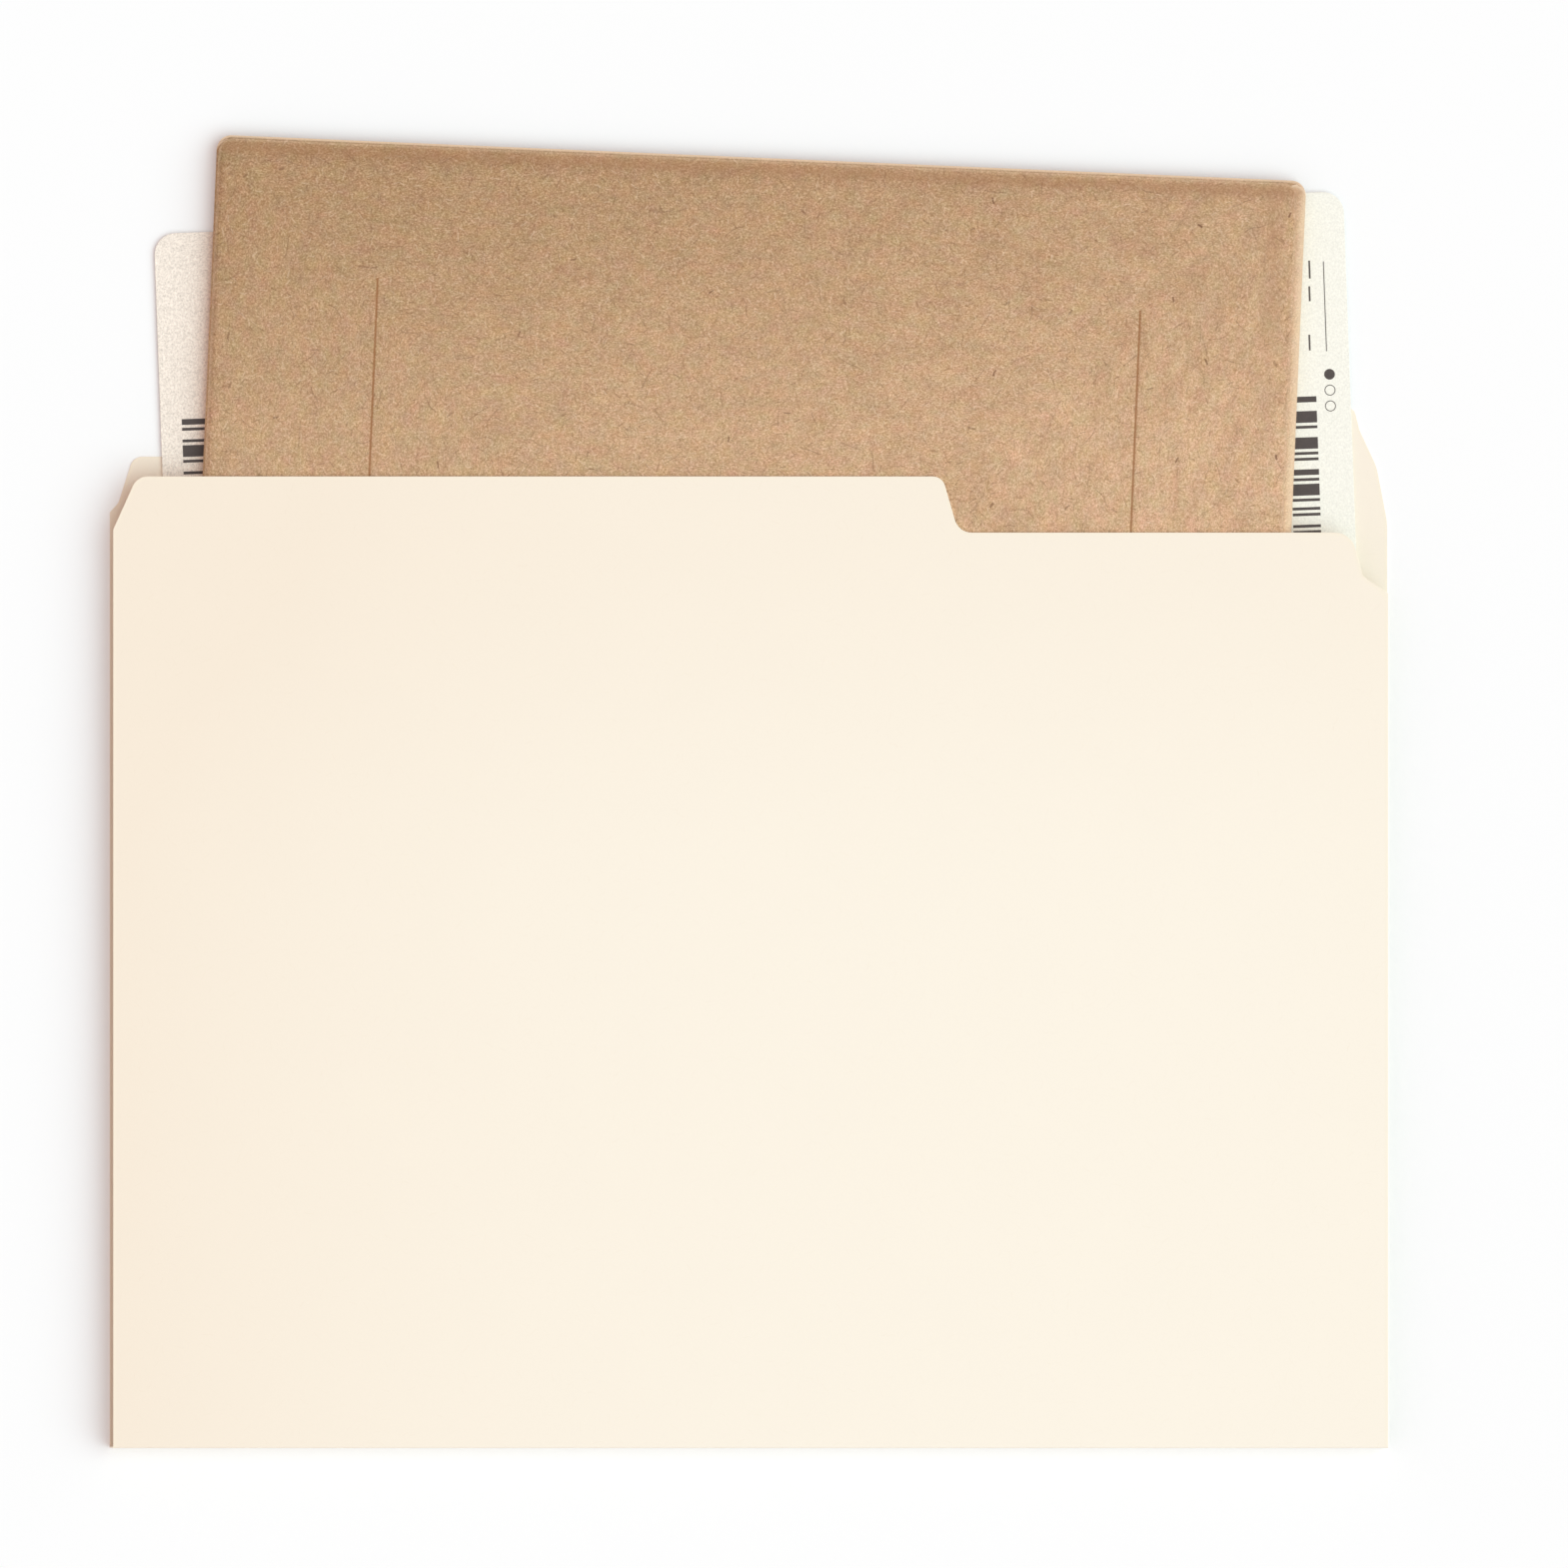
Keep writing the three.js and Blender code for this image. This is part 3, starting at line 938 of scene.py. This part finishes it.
def ink_bars(boxes, settings):
    """Vertices and faces of flat printed boxes, six faces each, all worked out at once."""
    low = -INK_SUNK * settings.ink_height
    x = boxes[:, [0, 1, 1, 0]] * MM
    y = boxes[:, [3, 3, 2, 2]] * MM
    ring = np.stack([x, y], axis=-1)
    lower = np.dstack([ring, np.full(x.shape, low)])
    upper = np.dstack([ring, np.full(x.shape, settings.ink_height)])
    corners = np.concatenate([lower, upper], axis=1)
    pattern = np.array([
        [3, 2, 1, 0], [4, 5, 6, 7], [0, 1, 5, 4], [1, 2, 6, 5], [2, 3, 7, 6], [3, 0, 4, 7],
    ])
    faces = pattern + 8 * np.arange(len(boxes))[:, None, None]
    return corners.reshape(-1, 3), faces.reshape(-1, 4)


def ink_ring(x, y, outer, inner, settings):
    """Vertices and faces of a printed ring: a flat box section carried once round a circle."""
    low = -INK_SUNK * settings.ink_height
    high = settings.ink_height
    radii = np.array([outer, outer, inner, inner])[:, None] * MM
    heights = np.array([low, high, high, low])[:, None]
    angle = np.linspace(0, 2 * math.pi, RING_STEPS, endpoint=False)
    across = x * MM + radii * np.cos(angle)
    up = y * MM + radii * np.sin(angle)
    points = np.stack([across, up, np.broadcast_to(heights, across.shape)], axis=-1)
    number = np.arange(4 * RING_STEPS).reshape(4, RING_STEPS)
    beside = np.roll(number, -1, axis=1)
    above = np.roll(number, -1, axis=0)
    faces = quads(number, beside, np.roll(beside, -1, axis=0), above)
    return points.reshape(-1, 3), faces


def marks_mesh(name, parts, settings):
    """One mesh of several printed marks, placed on the card's upper face."""
    sizes = np.cumsum([0] + [len(points) for points, _ in parts])
    points = np.concatenate([points for points, _ in parts])
    faces = np.concatenate([faces + size for (_, faces), size in zip(parts, sizes)])
    card_top = CARD_LEVEL * MM + settings.card
    mesh = bpy.data.meshes.new(name)
    mesh.from_pydata(card_placed(points, card_top).tolist(), [], faces.tolist())
    return mesh


class FILE_FOLDER_OT_make_marks(bpy.types.Operator):
    """Print plain marks on the card: a row of bars at each side, a rule, strokes and dots."""

    bl_idname = "file_folder.make_marks"
    bl_label = "Print the marks"

    def execute(self, context):
        settings = context.scene.card_settings
        ink = ink_material(settings)
        signs = [ink_bars(STROKES, settings)]
        signs += [ink_ring(*dot, settings) for dot in DOTS]
        groups = {
            "right_bars": [ink_bars(bars(*RIGHT_BARS), settings)],
            "left_bars": [ink_bars(bars(*LEFT_BARS), settings)],
            "small_marks": signs,
        }
        for name, parts in groups.items():
            piece = add_piece(marks_mesh(name, parts, settings), ink, "cream_card")
            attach(piece, "card")
        return {"FINISHED"}


class Nodes:
    """The nodes of a material or a world, added one short call at a time."""

    def __init__(self, owner):
        owner.use_nodes = True
        self.tree = owner.node_tree

    def node(self, kind, *values, **settings):
        """Adds one node and feeds its first inputs."""
        made = self.tree.nodes.new("ShaderNode" + kind)
        for key, value in settings.items():
            setattr(made, key, value)
        self.feed(made, dict(enumerate(values)))
        return made

    def feed(self, node, inputs):
        """Links outputs to inputs, given by name or number, or sets them to numbers or colours."""
        for key, value in inputs.items():
            socket = node.inputs[key]
            if isinstance(value, bpy.types.NodeSocket):
                self.tree.links.new(value, socket)
            elif hasattr(socket.default_value, "__len__") and len(value) < len(socket.default_value):
                socket.default_value = (*value, 1.0)
            else:
                socket.default_value = value

    def sum(self, operation, *values):
        """One sum of numbers."""
        return self.node("Math", *values, operation=operation).outputs[0]

    def product(self, first, second):
        """Two numbers multiplied."""
        return self.sum("MULTIPLY", first, second)

    def vector(self, operation, *values):
        """One sum of vectors or colours."""
        return self.node("VectorMath", *values, operation=operation).outputs[0]

    def rise(self, value, low, high):
        """A smooth rise from 0 at low to 1 at high, or a fall where low is above high."""
        return self.node("MapRange", value, low, high, interpolation_type="SMOOTHSTEP").outputs[0]

    def bell(self, value, middle, width):
        """A smooth hill that is 1 at the middle and 0 at a width to each side."""
        return self.rise(self.sum("ABSOLUTE", self.sum("SUBTRACT", value, middle)), width, 0.0)

    def mix(self, share, low, high):
        """Two colours mixed by a share."""
        made = self.node("Mix", share, data_type="RGBA")
        self.feed(made, {6: low, 7: high})
        return made.outputs[2]

    def seen_rays(self):
        """A number that is 1 for rays from the camera, from gloss and through glass, else 0."""
        path = self.node("LightPath").outputs
        seen = self.sum("MAXIMUM", path["Is Camera Ray"], path["Is Glossy Ray"])
        return self.sum("MAXIMUM", seen, path["Is Transmission Ray"])


class Finish(Nodes):
    """A material that follows the flat blank, and whose colour is built up in layers.

    Sizes of noise and fibres are in millimetres.
    """

    def __init__(self, name, roughness, specular):
        self.material = bpy.data.materials.new(name)
        super().__init__(self.material)
        self.shader = self.tree.nodes["Principled BSDF"]
        self.feed(self.shader, {"Roughness": roughness, "Specular IOR Level": specular})
        self.place = self.node("Attribute", attribute_name="blank").outputs["Vector"]
        self.across, self.up, self.edge = self.node("SeparateXYZ", self.place).outputs
        self.colour = None

    def noise_node(self, size, detail, roughness, stretch=(1, 1, 1), turn=0.0):
        """Noise whose features have that size, longer by the stretch along turned directions."""
        turning = (0.0, 0.0, turn)
        scale = tuple(size * MM * part for part in stretch)
        moved = self.node("Mapping", self.place, (0, 0, 0), turning, scale, vector_type="TEXTURE")
        made = self.node("TexNoise")
        inputs = {"Vector": moved.outputs[0], "Scale": 1.0, "Detail": detail, "Roughness": roughness}
        self.feed(made, inputs)
        return made

    def noise(self, size, detail=2.0, roughness=0.5, **settings):
        """Noise as one number about a half."""
        return self.noise_node(size, detail, roughness, **settings).outputs["Fac"]

    def fibres(self, spacing, length, width, share, shift=0.0):
        """Mask of short curved fibres, 1 on a fibre.

        The sheet is cut into random cells. Each cell holds one short line through its middle at
        a random angle, in a place that noise has bent a little; some cells stay empty. Another
        shift gives other fibres.
        """
        spacing *= MM
        length *= MM
        width *= MM
        bend = self.node("TexNoise")
        self.feed(bend, {"Vector": self.place, "Scale": 0.5 / length})
        bent = self.vector("SUBTRACT", bend.outputs["Color"], (0.5, 0.5, 0.5))
        bent = self.vector("MULTIPLY_ADD", bent, (length, length, 0.0), self.place)
        moved = self.vector("ADD", bent, (shift, shift / 3, 0.0))
        cells = self.node("TexVoronoi", voronoi_dimensions="2D")
        self.feed(cells, {"Vector": moved, "Scale": 1 / spacing})
        local = self.vector("SUBTRACT", moved, cells.outputs["Position"])
        chance = self.node("SeparateColor", cells.outputs["Color"]).outputs
        spun = self.node("VectorRotate", local, rotation_type="Z_AXIS")
        self.feed(spun, {"Angle": self.product(chance[0], 2 * math.pi)})
        parts = self.node("SeparateXYZ", spun.outputs[0]).outputs
        along = self.rise(self.sum("ABSOLUTE", parts[0]), length / 2, length / 3)
        aside = self.rise(self.sum("ABSOLUTE", parts[1]), width, width / 3)
        there = self.sum("LESS_THAN", chance[1], share)
        depth = self.sum("MULTIPLY_ADD", chance[2], 0.6, 0.4)
        return self.product(self.product(along, aside), self.product(there, depth))

    def cover(self, mask, strength, colour):
        """Lays another colour over the colour, as far as a mask and a strength go."""
        self.colour = self.mix(self.product(mask, strength), self.colour, colour)

    def vary(self, value, amount):
        """Makes the colour darker and brighter by an amount as a value swings about a half."""
        share = self.sum("MULTIPLY_ADD", self.sum("SUBTRACT", value, 0.5), amount, 1.0)
        made = self.node("VectorMath", self.colour, operation="SCALE")
        self.feed(made, {"Scale": share})
        self.colour = made.outputs[0]

    def swing(self, value, amounts, middle=0.5):
        """Lets red, green and blue swing by their own amounts with a value."""
        offsets = tuple(1 - middle * amount for amount in amounts)
        shares = self.vector("MULTIPLY_ADD", value, tuple(amounts), offsets)
        self.colour = self.vector("MULTIPLY", self.colour, shares)

    def tint(self, size, amount):
        """Lets red, green and blue swing by an amount, each by its own noise."""
        self.swing(self.noise_node(size, 3.0, 0.5).outputs["Color"], (amount, amount, amount))

    def done(self, height, distance):
        """The material, with its colour and the tooth of a height map."""
        bump = self.node("Bump")
        self.feed(bump, {"Height": height, "Distance": distance, "Strength": 1.0})
        self.feed(self.shader, {"Base Color": self.colour, "Normal": bump.outputs[0]})
        return self.material


def manila_material(settings):
    """Smooth manila board, with painted shade that makes it warmer at the left and top, faint fibres
    and yellower cut edges.
    """
    finish = Finish("manila_board", roughness=0.62, specular=0.3)
    # Painted shade: the board turns darker and warmer towards the left and the top
    from_right = finish.sum("SUBTRACT", 0.5, finish.sum("DIVIDE", finish.across, FOLDER_WIDTH * MM))
    shade_share = finish.sum("POWER", finish.sum("MAXIMUM", from_right, 0.0), 3.4)
    high = finish.product(finish.rise(finish.up, *SHADE_RISE), 0.45)
    shade_share = finish.sum("MINIMUM", finish.sum("ADD", shade_share, high), 1.0)
    finish.colour = finish.mix(shade_share, settings.pale, settings.warm_shade)
    finish.vary(finish.noise(size=22), 0.012)
    pulp = finish.noise(size=0.5, detail=4.0, roughness=0.65, stretch=(1.0, 0.42, 1.0))
    finish.vary(pulp, 0.05)
    fibre = finish.fibres(spacing=3.2, length=2.4, width=0.1, share=0.5)
    finish.cover(fibre, 0.12 * settings.fibres, screen(*BOARD_FIBRE))
    finish.cover(finish.rise(finish.edge, *BOARD_EDGE_FADE), 0.3, settings.cut_edge)
    tooth = finish.noise(size=0.45, detail=4.0, roughness=0.6, stretch=(1.0, 0.62, 1.0))
    return finish.done(tooth, 0.012 * MM)


def kraft_material(name, settings, edge_highlight):
    """Brown kraft paper: painted shade and light across it, clouds, painted shade in creases, grain,
    fibres, painted shade in the flap grooves, painted shade under the mouth and inside the right
    side, a painted highlight on the right fold, and pale edges that are painted highlight and partly
    wear.
    """
    finish = Finish(name, roughness=0.8, specular=0.3)
    # Painted shade at the upper left and painted light at the lower right
    half = ENVELOPE_WIDTH * MM / 2
    sideways = finish.sum("DIVIDE", finish.sum("ADD", finish.across, half), 2 * half)
    down = finish.rise(finish.up, 0.0, LIT_DEPTH)
    to_right = finish.sum("POWER", finish.sum("MAXIMUM", sideways, 0.0), 1.4)
    lit_share = finish.sum("MULTIPLY_ADD", to_right, 0.55, finish.product(down, 0.45))
    finish.colour = finish.mix(lit_share, settings.dark, settings.light)
    finish.vary(finish.noise(size=10, detail=5.0), 0.24)
    finish.tint(4, 0.25)
    # Streaks of painted shade for the creases of the wrinkles, stronger to the right
    crease = finish.noise(size=5.5, detail=1.0, stretch=(6.0, 1.0, 1.0), turn=math.radians(50))
    crease = finish.product(finish.rise(crease, 0.46, 0.64), finish.rise(sideways, 0.4, 0.8))
    finish.cover(crease, 0.18, screen(*KRAFT_CREASE_SHADE))
    strand = finish.noise(size=1.1, detail=3.0, roughness=0.65, stretch=(0.83, 1.1, 1.0))
    strand = finish.sum("ABSOLUTE", finish.sum("SUBTRACT", strand, 0.5))
    finish.swing(strand, 1.5 * EVEN_STEP, 0.075)
    grain = finish.noise(size=0.47, detail=3.0, roughness=0.7)
    grain = finish.sum("MAXIMUM", grain, 0.25)
    finish.swing(grain, 2.0 * EVEN_STEP)
    finish.cover(finish.rise(grain, 0.5, 0.7), 0.26, settings.worn_and_highlight)
    for *shape, strength in KRAFT_FIBRES:
        finish.cover(finish.fibres(*shape), strength, settings.fibre)
    pale = finish.fibres(spacing=2.4, length=2.0, width=0.18, share=0.6, shift=0.71)
    finish.cover(pale, 0.36, settings.worn_and_highlight)
    # Painted shade on the slope just under the mouth
    finish.cover(finish.bell(finish.up, *MOUTH_SHADE_PLACE), 0.4, screen(*KRAFT_MOUTH_SHADE))
    # Painted shade of a stripe 7 mm inside the right side, stronger towards the top
    upper = finish.product(finish.rise(finish.up, *EDGE_SHADE_RISE), 0.25)
    pressed = finish.bell(finish.across, half + EDGE_SHADE_PLACE[0], EDGE_SHADE_PLACE[1])
    finish.cover(pressed, upper, screen(*KRAFT_EDGE_SHADE))
    # Painted highlight on the right fold
    fold = finish.bell(finish.across, half + FOLD_HIGHLIGHT_PLACE[0], FOLD_HIGHLIGHT_PLACE[1])
    finish.cover(fold, 0.55, settings.worn_and_highlight)
    # Painted shade in the groove along each flap's edge, from where the flaps begin
    marks = [finish.bell(finish.across, mark, GROOVE_SHADE_HALF_WIDTH) for mark in flap_marks()]
    started = finish.sum("LESS_THAN", finish.up, -FLAP_TOP_DROP * MM)
    mark = finish.product(finish.sum("MAXIMUM", *marks), started)
    finish.cover(mark, 0.9, settings.mark)
    # Pale cut edges: painted highlight, partly wear, strongest on the body's mouth edge
    finish.cover(finish.rise(finish.edge, *KRAFT_HIGHLIGHT_FADE), edge_highlight, settings.worn_and_highlight)
    return finish.done(grain, 0.03 * MM)


def cream_material(settings):
    """Cream card, with painted shade that makes it warmer to the left, clouds, a fine grain and a
    few fibres.
    """
    finish = Finish("cream_card_stock", roughness=0.7, specular=0.3)
    half = CARD_WIDTH * MM / 2
    # Painted shade: the card turns darker and warmer towards the left
    shade_share = finish.rise(finish.across, half, -half)
    finish.colour = finish.mix(shade_share, settings.pale, settings.warm_shade)
    finish.vary(finish.noise(size=3.0, detail=3.0), 0.02)
    grain = finish.noise(size=0.55, detail=3.0, roughness=0.7)
    finish.vary(grain, finish.sum("MULTIPLY_ADD", shade_share, 0.75, 0.5))
    fibre = finish.fibres(spacing=4.0, length=1.6, width=0.1, share=0.35, shift=0.2)
    finish.cover(fibre, 0.12, screen(*CARD_FIBRE))
    return finish.done(grain, 0.02 * MM)


def ink_material(settings):
    """Flat dark ink, a little uneven where the card's tooth shows through."""
    finish = Finish("printed_ink", roughness=0.55, specular=0.35)
    finish.place = finish.node("TexCoord").outputs["Object"]
    finish.colour = tuple(settings.ink)
    grain = finish.noise(size=0.3, detail=3.0, roughness=0.7)
    finish.vary(grain, 0.5)
    finish.vary(finish.noise(size=2.0), 0.3)
    return finish.done(grain, 0.01 * MM)


def floor_material(settings):
    """Plain pale floor that looks white to the camera and keeps the shadows."""
    material = bpy.data.materials.new("studio_floor")
    nodes = Nodes(material)
    nodes.feed(nodes.tree.nodes["Principled BSDF"], {
        "Base Color": settings.floor,
        "Roughness": 0.9,
        "Specular IOR Level": 0.0,
        "Emission Color": WHITE,
        "Emission Strength": nodes.product(nodes.seen_rays(), settings.glow),
    })
    return material


def add_world(settings):
    """Even fill light from all round, white where it is seen."""
    world = bpy.data.worlds.new("studio_fill")
    nodes = Nodes(world)
    fill = nodes.tree.nodes["Background"]
    nodes.feed(fill, {"Color": settings.fill})
    white = nodes.node("Background", WHITE)
    chosen = nodes.node("MixShader", nodes.seen_rays(), fill.outputs[0], white.outputs[0])
    nodes.feed(nodes.tree.nodes["World Output"], {"Surface": chosen.outputs[0]})
    bpy.context.scene.world = world


def add_key(settings):
    """Broad key light from the right. With the fill it comes to white on a level surface."""
    key = bpy.data.lights.new("key", "SUN")
    key.angle = settings.key_spread
    strength = math.pi * (1 - np.array(settings.fill)) / math.sin(settings.key_tilt)
    key.energy = float(strength.max())
    key.color = tuple(strength / strength.max())
    lamp = add_object("key", key)
    lamp.rotation_euler = (0.0, math.pi / 2 - settings.key_tilt, settings.key_turn)


def add_floor(settings):
    """Round floor: radius by angle on a grid, with a small ring in place of the pole."""
    rings = np.array(FLOOR_RINGS)[:, None]
    angle = np.linspace(0, 2 * math.pi, FLOOR_STEPS, endpoint=False)
    across = rings * np.cos(angle)
    up = rings * np.sin(angle)
    points = np.stack([across, up, np.full(across.shape, FLOOR_LEVEL)], axis=-1)
    number = np.arange(across.size).reshape(across.shape)
    beside = np.roll(number, -1, axis=1)
    faces = quads(number[:-1], number[1:], beside[1:], beside[:-1]).tolist()
    faces.append(number[0].tolist())
    mesh = bpy.data.meshes.new("floor")
    mesh.from_pydata(points.reshape(-1, 3).tolist(), [], faces)
    mesh.materials.append(floor_material(settings))
    floor = add_object("floor", mesh)


def add_camera():
    """Camera straight above the folder, far away with a long lens, as the photo looks."""
    data = bpy.data.cameras.new("camera")
    data.sensor_width = SENSOR_WIDTH
    data.lens = SENSOR_WIDTH * CAMERA_HEIGHT / PICTURE_WIDTH
    data.clip_end = 100.0
    camera = add_object("camera", data)
    camera.location = (*PICTURE_MIDDLE, CAMERA_HEIGHT + FOLDER_DEPTH * MM)
    bpy.context.scene.camera = camera


class FILE_FOLDER_OT_make_stage(bpy.types.Operator):
    """Set up the floor, the lights and the camera."""

    bl_idname = "file_folder.make_stage"
    bl_label = "Set up the stage"

    def execute(self, context):
        settings = context.scene.stage_settings
        context.scene.view_settings.view_transform = "Standard"
        add_camera()
        add_world(settings)
        add_key(settings)
        add_floor(settings)
        return {"FINISHED"}


SETTINGS = {
    "folder_settings": FolderSettings,
    "envelope_settings": EnvelopeSettings,
    "card_settings": CardSettings,
    "stage_settings": StageSettings,
}
OPERATORS = (
    FILE_FOLDER_OT_make_stage,
    FILE_FOLDER_OT_make_leaves,
    FILE_FOLDER_OT_make_envelope,
    FILE_FOLDER_OT_make_card,
    FILE_FOLDER_OT_make_marks,
)


class FILE_FOLDER_PT_panel(bpy.types.Panel):
    """Buttons that make the pieces, and the sizes and colours that they use."""

    bl_idname = "FILE_FOLDER_PT_panel"
    bl_label = "File folder"
    bl_space_type = "VIEW_3D"
    bl_region_type = "UI"
    bl_category = "File folder"

    def draw(self, context):
        for operator in OPERATORS:
            self.layout.operator(operator.bl_idname)
        for name, group in SETTINGS.items():
            box = self.layout.box()
            box.label(text=group.__doc__)
            for key in group.__annotations__:
                box.prop(getattr(context.scene, name), key)


def register():
    """Adds the settings, the operators and the panel."""
    for name, group in SETTINGS.items():
        bpy.utils.register_class(group)
        setattr(bpy.types.Scene, name, bpy.props.PointerProperty(type=group))
    for operator in OPERATORS:
        bpy.utils.register_class(operator)
    bpy.utils.register_class(FILE_FOLDER_PT_panel)


def unregister():
    """Takes away what register adds."""
    bpy.utils.unregister_class(FILE_FOLDER_PT_panel)
    for operator in reversed(OPERATORS):
        bpy.utils.unregister_class(operator)
    for name, group in SETTINGS.items():
        delattr(bpy.types.Scene, name)
        bpy.utils.unregister_class(group)


def main():
    """Makes the whole scene."""
    register()
    bpy.ops.file_folder.make_stage()
    bpy.ops.file_folder.make_leaves()
    bpy.ops.file_folder.make_envelope()
    bpy.ops.file_folder.make_card()
    bpy.ops.file_folder.make_marks()


if __name__ == "__main__":
    main()
